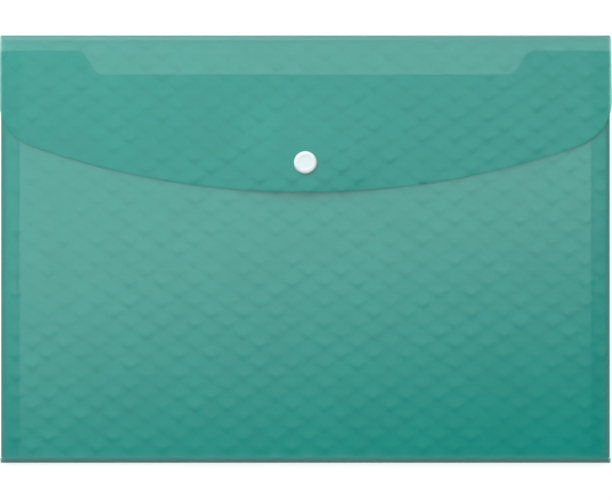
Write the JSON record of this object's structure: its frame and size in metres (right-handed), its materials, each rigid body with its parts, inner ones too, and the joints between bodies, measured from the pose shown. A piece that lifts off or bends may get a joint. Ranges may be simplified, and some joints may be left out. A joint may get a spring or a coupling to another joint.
{
  "type": "document wallet",
  "caption": "Landscape envelope wallet of translucent plastic sheet with a thumb notch and a hinged curved flap that closes on a press stud, for flat paper documents.",
  "frame": {"origin": "on the table under the middle of the closed wallet, which lies on its back", "axes": "+X along the width, +Y towards the flap's fold, +Z out of the front"},
  "size_m": [0.337, 0.236, 0.0106],
  "materials": {
    "sheet": "translucent, embossed, satin",
    "stud": "moulded, semi-gloss"
  },
  "bodies": {
    "wallet": {"back_panel": "sheet", "bottom_fold": "sheet", "front_panel": "sheet", "left_side_fold": "sheet", "right_side_fold": "sheet", "left_weld_tab": "sheet", "right_weld_tab": "sheet", "flap_hinge": "sheet", "stud_ball": "stud", "stud_backing_cap": "stud"},
    "flap": {"flap_panel": "sheet", "stud_cap": "stud", "stud_socket": "stud"}
  },
  "joints": [
    {"name": "flap_swing", "type": "hinge", "parent": "wallet", "child": "flap", "pos_m": [0, 0.11455, 0.00345], "axis": [-1, 0, 0], "range_deg": [0, 176], "deforming": ["flap_hinge"]}
  ]
}
